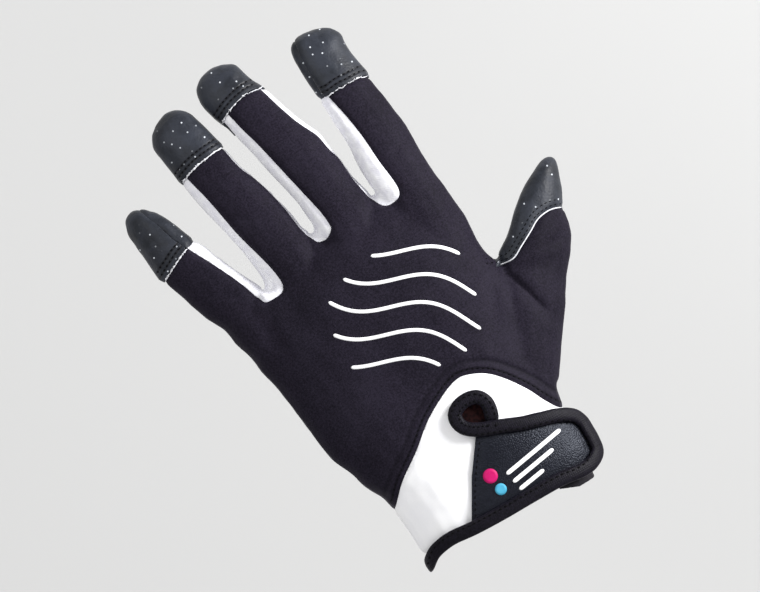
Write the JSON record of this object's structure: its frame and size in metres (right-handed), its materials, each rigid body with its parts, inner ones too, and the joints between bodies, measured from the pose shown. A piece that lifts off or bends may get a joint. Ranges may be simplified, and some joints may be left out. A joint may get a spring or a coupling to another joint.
{
  "type": "sport glove",
  "caption": "Left sport glove in its worn shape: stretch back, speckled leather palm and fingertips, white side walls, wrist strap.",
  "frame": {"origin": "middle of the wrist opening", "axes": "+X to the thumb side, +Y from the wrist to the fingertips, +Z out of the back of the hand"},
  "size_m": [0.1643, 0.2139, 0.0483],
  "materials": {
    "knit": "fine matt black stretch knit with a faint violet sheen",
    "leather": "smooth dark grey synthetic leather with small silver specks",
    "side": "thin white stretch fabric",
    "cuff": "smooth white neoprene",
    "strap": "black synthetic leather with a fine pebble grain",
    "binding": "soft black folded tape with a row of stitches"
  },
  "bodies": {
    "root": {"back_panel": "knit", "palm_panel": "leather", "index_cap": "leather", "middle_cap": "leather", "ring_cap": "leather", "little_cap": "leather", "thumb_facing": "leather", "gusset_index_middle": "side", "gusset_middle_ring": "side", "gusset_ring_little": "side", "cuff_panel": "cuff", "palm_cuff": "cuff", "strap": "strap", "cuff_binding": "binding", "palm_binding": "binding", "fastener_tab": "binding"}
  },
  "joints": []
}
